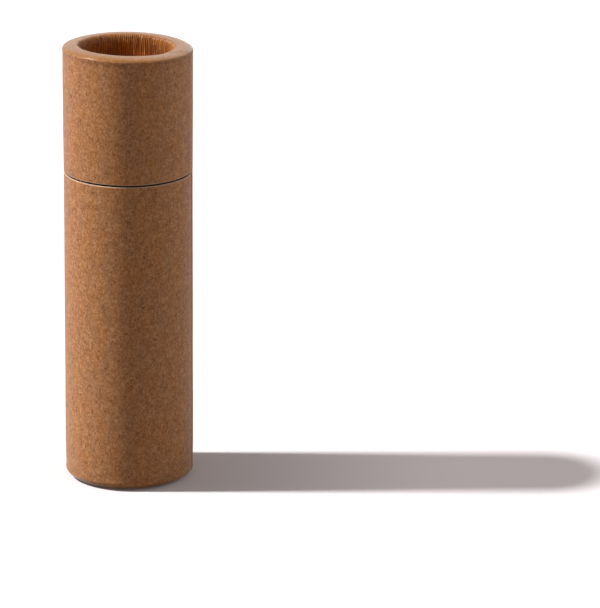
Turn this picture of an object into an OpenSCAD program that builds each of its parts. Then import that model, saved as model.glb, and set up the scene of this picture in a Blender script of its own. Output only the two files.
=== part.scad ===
// Push-up balm stick in a paperboard tube, standing on its foot with its cap on.
// Millimetres. The axis of the stick is Z and the foot rests on Z = 0.
// The body tube and the cap are rolled board with their ends curled in, each
// covered by a kraft paper wrap. A thinner neck tube stands inside the body and
// carries the cap. A board disc closes the bottom of the neck and carries the
// balm, and a fingertip in the recess of the foot pushes both upwards.

/* [Stick] */
// Outer radius of the wrapped body and cap
body_r = 10; // [8:0.25:14]
// Height of the body, from the foot to its cut top edge
body_len = 49.55; // [30:0.05:90]
// Height of the cap, from its cut mouth to the crown of its rim
cap_len = 19.7; // [17:0.05:35]
// Open seam between the body and the cap when the cap is on
seam_gap = 0.3; // [0.05:0.05:0.5]

/* [Tube stock] */
// Kraft paper wrap on the body and the cap
wrap_t = 0.15; // [0.08:0.01:0.25]
// Rolled board of the body and the cap
board_t = 0.75; // [0.5:0.05:1.2]
// Film of glue between two layers
glue = 0.02; // [0.01:0.005:0.04]

/* [Neck] */
// Height of neck that shows when the cap is off
neck_reveal = 10; // [6:0.5:12]
// Running clearance from the neck to the bore of the cap
neck_clear = 0.05; // [0.02:0.01:0.1]
// White paper on the outside of the neck tube
neck_wrap_t = 0.12; // [0.08:0.01:0.2]
// Rolled board of the neck tube
neck_board_t = 0.6; // [0.4:0.05:1]
// Greaseproof lining inside the neck tube
liner_t = 0.08; // [0.05:0.01:0.15]
// Space between the neck tube's lower end and the curl that it stands in
neck_seat = 0.03; // [0.02:0.01:0.1]

/* [Curled rims] */
// Flat crown of a rim, which is also the ring that the foot rests on
rim_flat_w = 0.5; // [0.3:0.05:0.8]
// Width of the curl on the throat side of the crown
rim_inner_w = 0.7; // [0.4:0.05:1]
// Height of the tightest bend on the outer side of a rim
rim_outer_bend = 0.08; // [0.04:0.01:0.3]
// Height of the tightest bend on the throat side of a rim
rim_inner_bend = 0.58; // [0.3:0.02:0.9]
// Squareness of the shoulder outside the crown of the cap, where 2 is an ellipse
crown_square = 3.6; // [2:0.1:5]
// Squareness of the shoulder outside the foot
foot_square = 2; // [2:0.1:5]
// Gap between the folded wall and the neck's lining
fold_gap = 0.27; // [0.15:0.01:0.5]
// Depth of the folded wall in the top of the cap, down to its disc
cap_fold = 3.5; // [2.5:0.1:6]
// Depth of the folded wall in the foot, up to the push disc
foot_fold = 4.5; // [4.2:0.1:8]

/* [Wrap laps] */
// Width of the strip where the end of a wrap lies over its start
lap_w = 5; // [3:0.5:8]
// Height that the upper layer of a lap stands proud
lap_rise = 0.12; // [0.06:0.01:0.2]
// Height over which a lap runs out above the bend of the rim
lap_fade = 0.6; // [0.3:0.1:1.5]
// Bearing of the free edge of the cap's lap
cap_lap_at = 5; // [-180:1:180]
// Bearing of the free edge of the body's lap
body_lap_at = -6; // [-180:1:180]

/* [Discs] */
// Board of the disc in the top of the cap
cap_disc_t = 1; // [0.6:0.1:1.6]
// Clearance round the cap's disc
disc_clear = 0.05; // [0.02:0.01:0.1]
// Kraft paper facing on both discs
facing_t = 0.15; // [0.08:0.01:0.25]
// Greaseproof paper on the balm side of both discs
barrier_t = 0.08; // [0.05:0.01:0.15]
// Board of the push disc
push_disc_t = 2.5; // [1.5:0.1:4]
// Running clearance of the push disc and the balm in the neck's lining
slide_clear = 0.05; // [0.02:0.01:0.1]

/* [Balm] */
// Depth of the balm's shoulder below the neck's rim
fill_gap = 0.9; // [0.6:0.1:6]
// Height of the domed top above the shoulder
dome_h = 0.45; // [0.2:0.05:0.6]
// Radius of each lobe of the sink hole left by cooling
sink_r = 0.5; // [0.3:0.05:1]
// Distance of the sink hole from the axis
sink_off = 2.6; // [0:0.1:5]
// Bearing of the sink hole
sink_at = -35; // [-180:5:180]

/* [Hidden] */
$fn = 96;
ARC_STEPS = 12;
// How far a cutting shape runs past the face that it opens
cut = 1;
stack_t = wrap_t + glue + board_t;
bore_r = body_r - stack_t;
neck_r = bore_r - neck_clear;
neck_board_r = neck_r - neck_wrap_t - glue;
liner_r = neck_board_r - neck_board_t - glue;
neck_bore_r = liner_r - liner_t;

// The curl: its throat clears the neck tube that stands behind the folded wall
throat_r = neck_bore_r - fold_gap - stack_t;
rim_w = body_r - throat_r;
rim_outer_w = rim_w - rim_flat_w - rim_inner_w;
rim_outer_h = stack_t + rim_outer_bend;
rim_inner_h = stack_t + rim_inner_bend;

neck_foot_z = rim_outer_h + neck_seat;
neck_top_z = body_len + neck_reveal;
crown_z = body_len + seam_gap + cap_len;
lap_turn = lap_w / body_r * 180 / PI;

// The push disc rests on the end of the fold in the foot
push_r = neck_bore_r - slide_clear;
push_face_z = foot_fold + glue;
push_board_z = push_face_z + facing_t + glue;
push_barrier_z = push_board_z + push_disc_t + glue;
balm_z = push_barrier_z + barrier_t + glue;
shoulder_z = neck_top_z - fill_gap;
dome_r = (pow(push_r, 2) + pow(dome_h, 2)) / (2 * dome_h);
sink_apart = 0.8 * sink_r;
sink_tip_r = 0.7 * sink_r;

// The cap's disc is pressed up against the end of the fold
cap_disc_r = bore_r - disc_clear;
cap_face_d = cap_fold + glue;
cap_board_d = cap_face_d + facing_t + glue;
cap_barrier_d = cap_board_d + cap_disc_t + glue;

kraft = [0.67, 0.49, 0.35];
board = [0.45, 0.33, 0.23];
white_paper = [0.94, 0.92, 0.91];
greaseproof = [0.90, 0.87, 0.83];
balm_yellow = [0.90, 0.86, 0.71];

// Point of a rounded shoulder of unit size, which is a circle for a square of 2
function shoulder_point(a, square) =
    [cos(a), sin(a)] / pow(pow(cos(a), square) + pow(sin(a), square), 1 / square);

// Points of a curled rim as [radius, depth below the crown], from the outer
// wall, over the crown and down to the folded wall. Inset is the depth of the
// line below the outside surface.
function rim_line(inset, square) =
    let (
        shrink = (rim_w - 2 * inset) / rim_w,
        outer_w = rim_outer_w * shrink,
        inner_w = rim_inner_w * shrink,
        outer_c = body_r - inset - outer_w,
        inner_c = throat_r + inset + inner_w,
        outer_h = rim_outer_h - inset,
        inner_h = rim_inner_h - inset
    )
    concat(
        [for (i = [0:ARC_STEPS]) let (p = shoulder_point(90 * i / ARC_STEPS, square))
            [outer_c + outer_w * p.x, inset + outer_h * (1 - p.y)]],
        [for (i = [0:ARC_STEPS]) let (a = 90 + 90 * i / ARC_STEPS)
            [inner_c + inner_w * cos(a), inset + inner_h * (1 - sin(a))]]
    );

function reversed(points) = [for (i = [len(points) - 1:-1:0]) points[i]];

// Section of one layer of a tube with a curled end, between two insets
function layer_section(length, fold, square, near, far) =
    concat(
        [[body_r - near, length]],
        rim_line(near, square),
        [[throat_r + near, fold], [throat_r + far, fold]],
        reversed(rim_line(far, square)),
        [[body_r - far, length]]
    );

// Section of a lap, which the die that curls the rim presses flat at the bend
function lap_section(length) = [
    [body_r - wrap_t / 2, length],
    [body_r + lap_rise, length],
    [body_r + lap_rise, rim_outer_h + lap_fade],
    [body_r - wrap_t / 2, rim_outer_h]
];

module ring(outer, inner, height) {
    difference() {
        cylinder(r = outer, h = height);
        translate([0, 0, -cut]) cylinder(r = inner, h = height + 2 * cut);
    }
}

// One wrap of kraft paper, curled over the rim and glued to itself along a lap
module wrap_layer(length, fold, square, lap_at) {
    rotate_extrude() polygon(layer_section(length, fold, square, 0, wrap_t));
    rotate([0, 0, lap_at])
        rotate_extrude(angle = lap_turn)
            polygon(lap_section(length));
}

// Rolled board with its end curled over and folded back inside itself
module curled_board(length, fold, square) {
    rotate_extrude() polygon(layer_section(length, fold, square, wrap_t + glue, stack_t));
}

// The cap is built crown down, as the body is, and turned over
module turned_over() {
    translate([0, 0, crown_z]) mirror([0, 0, 1]) children();
}

module body_wrap() {
    color(kraft) wrap_layer(body_len, foot_fold, foot_square, body_lap_at);
}

module body_tube() {
    color(board) curled_board(body_len, foot_fold, foot_square);
}

module neck_layer(outer, thick) {
    translate([0, 0, neck_foot_z]) ring(outer, outer - thick, neck_top_z - neck_foot_z);
}

module neck_wrap() {
    color(white_paper) neck_layer(neck_r, neck_wrap_t);
}

module neck_tube() {
    color(board) neck_layer(neck_board_r, neck_board_t);
}

module neck_liner() {
    color(greaseproof) neck_layer(liner_r, liner_t);
}

module disc(radius, z, thick) {
    translate([0, 0, z]) cylinder(r = radius, h = thick);
}

module push_disc_facing() {
    color(kraft) disc(push_r, push_face_z, facing_t);
}

module push_disc() {
    color(board) disc(push_r, push_board_z, push_disc_t);
}

module push_disc_barrier() {
    color(greaseproof) disc(push_r, push_barrier_z, barrier_t);
}

// Two lobes and a smaller tip make the heart-shaped hole of a cast top
module sink_hole() {
    rotate([0, 0, sink_at]) translate([sink_off, 0, shoulder_z + dome_h]) {
        translate([0, sink_apart / 2, 0]) sphere(r = sink_r);
        translate([0, -sink_apart / 2, 0]) sphere(r = sink_r);
        translate([-sink_r, 0, 0]) sphere(r = sink_tip_r);
    }
}

module balm() {
    color(balm_yellow) difference() {
        intersection() {
            disc(push_r, balm_z, shoulder_z + dome_h - balm_z + cut);
            translate([0, 0, shoulder_z + dome_h - dome_r]) sphere(r = dome_r);
        }
        sink_hole();
    }
}

module cap_wrap() {
    color(kraft) turned_over() wrap_layer(cap_len, cap_fold, crown_square, cap_lap_at);
}

module cap_tube() {
    color(board) turned_over() curled_board(cap_len, cap_fold, crown_square);
}

module cap_disc_facing() {
    color(kraft) turned_over() disc(cap_disc_r, cap_face_d, facing_t);
}

module cap_disc() {
    color(board) turned_over() disc(cap_disc_r, cap_board_d, cap_disc_t);
}

module cap_disc_barrier() {
    color(greaseproof) turned_over() disc(cap_disc_r, cap_barrier_d, barrier_t);
}

body_wrap();
body_tube();
neck_wrap();
neck_tube();
neck_liner();
push_disc_facing();
push_disc();
push_disc_barrier();
balm();
cap_wrap();
cap_tube();
cap_disc_facing();
cap_disc();
cap_disc_barrier();
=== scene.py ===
"""Looks of a push-up balm stick in a paperboard tube, standing with its cap on.

Every paper and board layer, the balm and the discs are built here in the frame
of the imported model. Sizes are in millimetres and become metres when a mesh is
finished. The axis of the stick is Z, the foot stands on Z = 0 and the front
faces -Y.
"""

import logging
import math
from dataclasses import dataclass
from enum import Enum
from typing import Callable, ClassVar, Iterable, Iterator

import bmesh
import bpy
from mathutils import Matrix, Vector, noise

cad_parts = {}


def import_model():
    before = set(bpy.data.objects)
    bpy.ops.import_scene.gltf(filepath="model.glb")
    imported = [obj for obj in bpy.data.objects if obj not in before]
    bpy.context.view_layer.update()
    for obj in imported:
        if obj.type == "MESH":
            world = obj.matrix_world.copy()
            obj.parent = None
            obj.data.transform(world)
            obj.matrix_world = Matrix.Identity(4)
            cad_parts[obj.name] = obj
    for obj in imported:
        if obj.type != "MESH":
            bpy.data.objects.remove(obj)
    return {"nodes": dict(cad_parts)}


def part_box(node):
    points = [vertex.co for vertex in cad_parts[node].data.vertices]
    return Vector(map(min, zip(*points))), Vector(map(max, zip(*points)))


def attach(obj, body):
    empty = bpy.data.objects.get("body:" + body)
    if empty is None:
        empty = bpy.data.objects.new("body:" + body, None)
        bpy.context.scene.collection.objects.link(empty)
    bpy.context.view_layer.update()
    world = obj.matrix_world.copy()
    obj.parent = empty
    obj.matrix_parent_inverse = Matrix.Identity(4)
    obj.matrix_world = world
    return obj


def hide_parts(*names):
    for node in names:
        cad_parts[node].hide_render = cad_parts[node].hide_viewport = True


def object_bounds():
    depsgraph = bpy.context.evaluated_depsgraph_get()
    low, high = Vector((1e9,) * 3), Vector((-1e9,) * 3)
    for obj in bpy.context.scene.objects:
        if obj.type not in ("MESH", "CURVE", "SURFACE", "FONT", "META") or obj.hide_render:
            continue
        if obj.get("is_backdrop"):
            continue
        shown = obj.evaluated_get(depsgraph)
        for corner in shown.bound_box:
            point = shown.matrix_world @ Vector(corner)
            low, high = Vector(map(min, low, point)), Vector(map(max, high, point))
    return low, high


MM = 0.001
TURN = 2 * math.pi
LOG = logging.getLogger("balm_stick")
Colour = tuple[float, float, float]
Mover = Callable[[bmesh.types.BMVert, float], Vector]


# Shader maths


class Signal:
    """A value on a socket, which adds Math nodes where it is used in an expression."""

    def __init__(self, bench: "Bench", socket: bpy.types.NodeSocket) -> None:
        """Keeps the bench that the node stands on and the socket that carries the value."""
        self.bench = bench
        self.socket = socket

    def other(self, name: str) -> "Signal":
        """Gives another output of the same node."""
        return Signal(self.bench, self.socket.node.outputs[name])

    def maths(self, operation: str, *others: "Signal | float") -> "Signal":
        """Adds one Math node.

        Args:
            operation: The node's operation.
            others: Its inputs after this value, links or numbers.

        Returns:
            The node's result.
        """
        values = dict(enumerate((self, *others)))
        return self.bench.add("ShaderNodeMath", {"operation": operation}, values)

    def __add__(self, other: "Signal | float") -> "Signal":
        """Adds."""
        return self.maths("ADD", other)

    __radd__ = __add__

    def __sub__(self, other: "Signal | float") -> "Signal":
        """Subtracts."""
        return self.maths("SUBTRACT", other)

    def __rsub__(self, other: float) -> "Signal":
        """Subtracts from a number."""
        return self.maths("MULTIPLY_ADD", -1, other)

    def __mul__(self, other: "Signal | float") -> "Signal":
        """Multiplies."""
        return self.maths("MULTIPLY", other)

    def __truediv__(self, other: "Signal | float") -> "Signal":
        """Divides."""
        return self.maths("DIVIDE", other)

    def distance_from(self, level: float) -> "Signal":
        """Gives how far the value lies from a level, on either side."""
        return (self - level).maths("ABSOLUTE")

    def at_least(self, other: "Signal | float") -> "Signal":
        """Gives the larger of two values."""
        return self.maths("MAXIMUM", other)

    def step(self, start: float, end: float) -> "Signal":
        """Rises smoothly from 0 at start to 1 at end, or falls where start is the larger.

        Args:
            start: Value at which the result is 0.
            end: Value at which the result is 1.

        Returns:
            The smoothed step.
        """
        low, high = min(start, end), max(start, end)
        rise = self.bench.add(
            "ShaderNodeMapRange",
            {"interpolation_type": "SMOOTHSTEP"},
            {"Value": self, "From Min": low, "From Max": high},
        )
        return rise if start < end else 1 - rise


class Bench:
    """One material, and the nodes that are set up for it."""

    def __init__(self, name: str) -> None:
        """Starts an empty material.

        Args:
            name: Its name.
        """
        self.material = bpy.data.materials.new(name)
        self.material.use_nodes = True
        self.tree = self.material.node_tree
        self.tree.nodes.clear()

    def add(
        self,
        kind: str,
        settings: dict | None = None,
        values: dict | None = None,
        output: int | str = 0,
    ) -> Signal:
        """Adds one node.

        Args:
            kind: The node's type.
            settings: Its own properties, set first.
            values: Its inputs by name or place, links or plain values.
            output: Name or place of the output to use.

        Returns:
            That output.
        """
        node = self.tree.nodes.new(kind)
        for name, value in (settings or {}).items():
            setattr(node, name, value)
        for key, value in (values or {}).items():
            if isinstance(value, Signal):
                self.tree.links.new(value.socket, node.inputs[key])
            else:
                node.inputs[key].default_value = value
        return Signal(self, node.outputs[output])

    def mix(self, share: Signal | float, first: Signal | Colour, second: Signal | Colour,
            blend: str = "MIX") -> Signal:
        """Mixes two colours.

        Args:
            share: Share of the second colour.
            first: Colour at share 0.
            second: Colour at share 1.
            blend: The node's blend type.

        Returns:
            The mixed colour.
        """
        ends = {6: first, 7: second}
        values = {i: c if isinstance(c, Signal) else (*c, 1) for i, c in ends.items()}
        return self.add(
            "ShaderNodeMix",
            {"data_type": "RGBA", "blend_type": blend, "clamp_factor": True},
            {0: share, **values},
            2,
        )

    def vector(self, operation: str, values: dict, output: int = 0) -> Signal:
        """Adds one Vector Math node and returns its vector, or its number as output 1."""
        return self.add("ShaderNodeVectorMath", {"operation": operation}, values, output)

    def place(self) -> Signal:
        """Gives the place on the object, in millimetres."""
        at = self.add("ShaderNodeTexCoord", output="Object")
        return self.vector("SCALE", {0: at, "Scale": 1 / MM})

    def stretch(self, at: Signal, by: tuple[float, float, float]) -> Signal:
        """Scales a place along each axis."""
        return self.vector("MULTIPLY", {0: at, 1: by})

    def shift(self, at: Signal, by: Signal | tuple[float, float, float]) -> Signal:
        """Moves a place."""
        return self.vector("ADD", {0: at, 1: by})

    def length(self, at: Signal) -> Signal:
        """Gives how far a place lies from the origin."""
        return self.vector("LENGTH", {0: at}, 1)

    def axes(self, at: Signal) -> tuple[Signal, Signal, Signal]:
        """Takes a place apart into X, Y and Z."""
        apart = self.add("ShaderNodeSeparateXYZ", values={0: at})
        return tuple(apart.other(axis) for axis in "XYZ")

    def attribute(self, name: str) -> Signal:
        """Reads one of the numbers that the mesh keeps for each vertex."""
        return self.add("ShaderNodeAttribute", {"attribute_name": name}, output="Fac")

    def cloud(self, at: Signal, scale: float, detail: float = 2, rough: float = 0.5,
              bend: float = 0) -> Signal:
        """Adds a noise whose value lies around one half.

        Args:
            at: The place in millimetres.
            scale: Features per millimetre.
            detail: Octaves of the noise.
            rough: Weight of the finer octaves.
            bend: Distortion.

        Returns:
            The noise.
        """
        return self.add(
            "ShaderNodeTexNoise",
            {"noise_dimensions": "3D"},
            {"Vector": at, "Scale": scale, "Detail": detail, "Roughness": rough,
             "Distortion": bend},
        )

    def dots(self, at: Signal, scale: float, share: float, reach: float) -> Signal:
        """Scatters soft dots, one in some of the cells of a Voronoi pattern.

        Args:
            at: The flat place on the sheet in millimetres.
            scale: Cells per millimetre.
            share: Share of the cells that hold a dot.
            reach: Radius of the largest dot in millimetres.

        Returns:
            1 inside a dot and 0 outside.
        """
        cell = self.add(
            "ShaderNodeTexVoronoi",
            {"voronoi_dimensions": "2D", "feature": "F1"},
            {"Vector": at, "Scale": scale, "Randomness": 0.9},
            "Distance",
        )
        lucky, size, _ = self.axes(cell.other("Color"))
        edge = (size * 0.6 + 0.4) * (reach * scale)
        near = (cell / edge).step(1.15, 0.7)
        return near * lucky.step(1 - share - 0.01, 1 - share)

    def hairs(self, at: Signal, scale: float, thin: float, share: float, seed: float) -> Signal:
        """Draws short curled hairs along the contour lines of a noise.

        Args:
            at: The flat place on the sheet in millimetres.
            scale: Features per millimetre of the noise.
            thin: Half width of a hair, as a step of the noise.
            share: Share of the sheet on which hairs are kept.
            seed: Sets this set of hairs apart from another.

        Returns:
            1 on a hair and 0 elsewhere.
        """
        moved = self.shift(at, (seed, -seed, seed))
        contour = self.cloud(moved, scale, detail=1, rough=0.4, bend=0.6).distance_from(0.5)
        patches = self.cloud(moved, scale * 1.3, detail=0)
        return contour.step(thin, thin * 0.3) * patches.step(0.72 - share, 0.76 - share)

    def shown(self) -> Signal:
        """Tells what is seen from what only lights.

        Returns:
            1 for rays of the camera, gloss and glass, and 0 for soft light.
        """
        rays = self.add("ShaderNodeLightPath", output="Is Camera Ray")
        glossy, clear = rays.other("Is Glossy Ray"), rays.other("Is Transmission Ray")
        return rays.at_least(glossy).at_least(clear)

    def finish(self, **sockets: Signal | float | Colour) -> bpy.types.Material:
        """Ends the material in one Principled shader.

        Args:
            sockets: Its inputs, with underscores for the spaces in their names.

        Returns:
            The material.
        """
        values = {}
        for name, value in sockets.items():
            if isinstance(value, tuple) and name in ("Base_Color", "Sheen_Tint"):
                value = (*value, 1)
            values[name.replace("_", " ")] = value
        shader = self.add("ShaderNodeBsdfPrincipled", values=values)
        self.end_in("ShaderNodeOutputMaterial", shader)
        return self.material

    def end_in(self, kind: str, shader: Signal) -> None:
        """Joins a shader to an output node of that type."""
        end = self.tree.nodes.new(kind)
        self.tree.links.new(shader.socket, end.inputs["Surface"])

    def bump(self, height: Signal, depth: float, strength: float = 1.0) -> Signal:
        """Turns a height into a normal.

        Args:
            height: Height between 0 and 1.
            depth: Depth of the relief in millimetres.
            strength: Share of the relief that is used.

        Returns:
            The normal.
        """
        values = {"Strength": strength, "Distance": depth * MM, "Height": height}
        return self.add("ShaderNodeBump", values=values)


class WorldBench(Bench):
    """The world, and the nodes that are set up for it."""

    def __init__(self, name: str) -> None:
        """Starts an empty world and gives it to the scene.

        Args:
            name: Its name.
        """
        world = bpy.data.worlds.new(name)
        bpy.context.scene.world = world
        world.use_nodes = True
        self.tree = world.node_tree
        self.tree.nodes.clear()


# Finishes


class Lay(Enum):
    """How a sheet of paper lies on the stick."""

    WOUND = "wound round the axis"
    FLAT = "flat across the axis"


@dataclass(frozen=True)
class Mottle:
    """Pale and dark patches of one size in paper: ramps of a noise, and their weights."""

    scale: float
    detail: float
    rough: float
    bend: float
    pale: tuple[float, float]
    pale_weight: float
    deep: tuple[float, float]
    deep_weight: float


MOTTLES = (
    Mottle(0.85, 3, 0.60, 0.3, (0.50, 0.76), 0.42, (0.52, 0.28), 0.48),
    Mottle(2.40, 4, 0.70, 0.5, (0.50, 0.69), 0.62, (0.50, 0.33), 0.64),
    Mottle(5.20, 3, 0.75, 0.0, (0.52, 0.68), 0.50, (0.48, 0.32), 0.55),
)


@dataclass(frozen=True)
class KraftPaper:
    """Uncoated brown paper with cloudy stock, bark specks and loose fibres.

    A wound sheet reads where it is on the paper from the attribute "along" and its
    bearing, counted from the free edge of its lap.
    """

    name: str
    lay: Lay = Lay.WOUND
    lap_at: float = 0.0
    radius: float = 10.0
    tone: Colour = (0.497, 0.206, 0.071)
    warm: Colour = (0.555, 0.212, 0.055)
    pink: Colour = (0.472, 0.216, 0.099)
    deep: Colour = (0.226, 0.078, 0.021)
    pale: Colour = (0.80, 0.440, 0.205)
    bark: Colour = (0.097, 0.036, 0.012)
    polished: Colour = (0.350, 0.145, 0.031)
    # painted shade and warm bounce light deep in the throat
    throat: Colour = (1.0, 0.82, 0.43)
    # pale cut paper; on the wrap's cut corners it also paints a highlight
    torn: Colour = (0.85, 0.62, 0.43)

    def sheet(self, bench: Bench, at: Signal) -> Signal:
        """Gives the place on the flat sheet in millimetres.

        Args:
            bench: The material's bench.
            at: The place on the object.

        Returns:
            X round the stick and Y along the paper.
        """
        if self.lay is Lay.FLAT:
            return at
        turned = bench.add(
            "ShaderNodeMapping",
            {"vector_type": "POINT"},
            {"Vector": at, "Rotation": (0, 0, math.radians(180 - self.lap_at))},
        )
        x, y, _ = bench.axes(turned)
        around = y.maths("ARCTAN2", x) * self.radius
        along = bench.attribute("along")
        return bench.add("ShaderNodeCombineXYZ", values={0: around, 1: along})

    def stock(self, bench: Bench, at: Signal, flat: Signal, polish: Signal) -> Signal:
        """Mixes the colour of the paper itself.

        Args:
            bench: The material's bench.
            at: The place on the object.
            flat: The place on the sheet.
            polish: How much the curling die has polished the paper.

        Returns:
            The colour without specks.
        """
        upright = bench.stretch(at, (1, 1, 0.35))
        drift = bench.cloud(upright, scale=0.55, detail=3, rough=0.55, bend=0.3)
        colour = bench.mix(drift.step(0.36, 0.64), self.pink, self.warm)
        colour = bench.mix(0.45, colour, self.tone)
        calm = 1 - polish * 0.60
        stretched = bench.stretch(flat, (1.2, 0.8, 1))
        for mottle in MOTTLES:
            patches = bench.cloud(
                stretched, mottle.scale, mottle.detail, mottle.rough, mottle.bend)
            for ink, ramp, weight in (
                (self.pale, mottle.pale, mottle.pale_weight),
                (self.deep, mottle.deep, mottle.deep_weight),
            ):
                colour = bench.mix(patches.step(*ramp) * calm * weight, colour, ink)
        return colour

    def dress(self) -> bpy.types.Material:
        """Sets up the material.

        Returns:
            The material.
        """
        bench = Bench(self.name)
        at = bench.place()
        flat = self.sheet(bench, at)
        ragged = bench.cloud(flat, scale=3.2, detail=3, rough=0.6)
        polish = (bench.attribute("polish") + (ragged - 0.5) * 0.5).step(0.35, 0.75)
        wobble = bench.cloud(flat, scale=4, detail=3, rough=0.7).other("Color")
        shaken = bench.shift(flat, bench.vector("SCALE", {0: wobble, "Scale": 0.42}))
        apart = bench.shift(shaken, (31, 17, 0))
        specks = bench.dots(shaken, scale=0.50, share=0.26, reach=0.20)
        crumbs = bench.dots(shaken, scale=1.3, share=0.20, reach=0.11)
        dust = bench.dots(shaken, scale=3.1, share=0.25, reach=0.06)
        flakes = bench.dots(apart, scale=1.2, share=0.18, reach=0.12)
        dark_hairs = bench.hairs(flat, scale=1.1, thin=0.020, share=0.17, seed=11.3)
        pale_hairs = bench.hairs(flat, scale=1.5, thin=0.026, share=0.28, seed=47.9)
        colour = self.stock(bench, at, flat, polish)
        for mark, weight, ink in (
            (polish, 0.85, self.polished),
            # painted shade under the bead
            (bench.attribute("bead_shade") * ragged.step(0.36, 0.58), 0.30, self.deep),
            (pale_hairs, 0.45, self.pale),
            (flakes, 0.35, self.pale),
            (dark_hairs, 0.45, self.bark),
            (dust, 0.26, self.bark),
            (crumbs, 0.34, self.bark),
            (specks, 0.60, self.bark),
        ):
            colour = bench.mix(mark * weight, colour, ink)
        # painted shade and warm bounce light: the crimped throat is tinted darker and warmer
        colour = bench.mix(bench.attribute("pleat"), colour, self.throat, "MULTIPLY")
        # painted shade: darker in pleat bottoms, lap creases, the throat's depth and cut ends
        colour = bench.mix(bench.attribute("painted_shade") * 0.85, colour, self.deep, "MULTIPLY")
        # pale cut edges, partly a painted highlight on rounded corners and the lap's free edge
        torn = bench.attribute("torn") * ragged.step(0.25, 0.5)
        colour = bench.mix(torn * 0.75, colour, self.torn)
        fluff = bench.cloud(flat, scale=4.5, detail=4, rough=0.65)
        relief = fluff - specks * 0.3 + pale_hairs * 0.25
        return bench.finish(
            Base_Color=colour,
            Roughness=0.66 - polish * 0.34 + (ragged - 0.5) * 0.12,
            Normal=bench.bump(relief * (1 - polish * 0.7), depth=0.030, strength=0.7),
            Specular_IOR_Level=0.20,
            Sheen_Weight=0.46,
            Sheen_Roughness=0.40,
            Sheen_Tint=(0.97, 0.97, 1.0),
        )


@dataclass(frozen=True)
class RolledBoard:
    """Brown board wound from plies, with its cut edge darker and fibrous."""

    name: str
    outer: float
    ply: float
    face: Colour = (0.38, 0.205, 0.110)
    core: Colour = (0.105, 0.052, 0.028)
    seam: Colour = (0.034, 0.016, 0.009)
    pale: Colour = (0.32, 0.195, 0.115)

    def dress(self) -> bpy.types.Material:
        """Sets up the material.

        Returns:
            The material.
        """
        bench = Bench(self.name)
        at = bench.place()
        x, y, z = bench.axes(at)
        away = bench.length(bench.stretch(at, (1, 1, 0)))
        bearing = y.maths("ARCTAN2", x)
        wave = (bench.cloud(at, scale=0.9, detail=2) - 0.5) * (0.5 * self.ply)
        spiral = (away - self.outer + wave) / self.ply + bearing / TURN
        line = spiral.maths("FRACT").distance_from(0.5).step(0.42, 0.49)
        cut = bench.attribute("torn")
        pulled = bench.add("ShaderNodeCombineXYZ", values={0: bearing * 9, 1: away * 4, 2: z * 2})
        fibre = bench.cloud(pulled, scale=1.6, detail=4, rough=0.7, bend=0.4)
        colour = bench.mix(cut, self.face, self.core)
        colour = bench.mix(fibre.step(0.5, 0.8) * 0.6, colour, self.pale)
        colour = bench.mix(fibre.step(0.46, 0.26) * 0.6, colour, self.seam)
        colour = bench.mix(line * cut * 0.75, colour, self.seam)
        return bench.finish(
            Base_Color=colour,
            Roughness=0.82 + (fibre - 0.5) * 0.12,
            Normal=bench.bump(fibre - line * cut * 0.8, depth=0.03, strength=0.7),
            Specular_IOR_Level=0.35,
        )


@dataclass(frozen=True)
class SmoothPaper:
    """Bleached or greaseproof paper: smooth, faintly cloudy, with a few fibres."""

    name: str
    tone: Colour
    cloudy: Colour
    fibre: Colour
    rough: float
    gloss: float

    def dress(self) -> bpy.types.Material:
        """Sets up the material.

        Returns:
            The material.
        """
        bench = Bench(self.name)
        at = bench.place()
        cloud = bench.cloud(at, scale=0.8, detail=4, rough=0.6)
        fine = bench.cloud(at, scale=5, detail=3, rough=0.65)
        hairs = bench.hairs(at, scale=1.2, thin=0.015, share=0.16, seed=5.1)
        colour = bench.mix(cloud.step(0.35, 0.7) * 0.7, self.tone, self.cloudy)
        colour = bench.mix(hairs * 0.5, colour, self.fibre)
        colour = bench.mix(bench.attribute("torn") * 0.5, colour, self.fibre)
        return bench.finish(
            Base_Color=colour,
            Roughness=self.rough + (fine - 0.5) * 0.15,
            Normal=bench.bump(fine + cloud, depth=0.012, strength=0.5),
            Specular_IOR_Level=self.gloss,
        )


@dataclass(frozen=True)
class CastBalm:
    """Wax and oil balm: pale yellow and waxy, with painted shade in the sink hole, olive where
    light runs deep, and a darker halo round it.
    """

    name: str
    tone: Colour = (0.79, 0.665, 0.44)
    cloudy: Colour = (0.82, 0.71, 0.52)
    olive: Colour = (0.30, 0.22, 0.012)
    halo: Colour = (0.62, 0.49, 0.22)
    frost: Colour = (0.86, 0.79, 0.64)

    def dress(self) -> bpy.types.Material:
        """Sets up the material.

        Returns:
            The material.
        """
        bench = Bench(self.name)
        at = bench.place()
        cloud = bench.cloud(at, scale=0.45, detail=4, rough=0.55, bend=0.5)
        fine = bench.cloud(at, scale=3.5, detail=4, rough=0.6)
        streak = bench.cloud(bench.stretch(at, (1, 1, 0.06)), scale=3.0, detail=3, rough=0.6)
        colour = bench.mix(cloud.step(0.35, 0.68), self.tone, self.cloudy)
        colour = bench.mix(fine.step(0.58, 0.76) * 0.35, colour, self.frost)
        side = bench.attribute("side")
        colour = bench.mix(streak.step(0.52, 0.72) * side * 0.5, colour, self.frost)
        sink = bench.attribute("sink")
        # painted shade: a darker halo round the sink hole and olive inside it
        colour = bench.mix(sink.step(0.02, 0.5) * 0.55, colour, self.halo)
        colour = bench.mix(sink.step(0.5, 0.85), colour, self.olive)
        return bench.finish(
            Base_Color=colour,
            Roughness=0.44 + (fine - 0.5) * 0.16 + side * (streak - 0.5) * 0.2,
            Normal=bench.bump(fine * 0.6 + cloud + streak * side, depth=0.02, strength=0.5),
            Specular_IOR_Level=0.45,
            Subsurface_Weight=0.35,
            Subsurface_Radius=(1.0, 0.75, 0.35),
            Subsurface_Scale=0.0012,
        )


# The shapes


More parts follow.
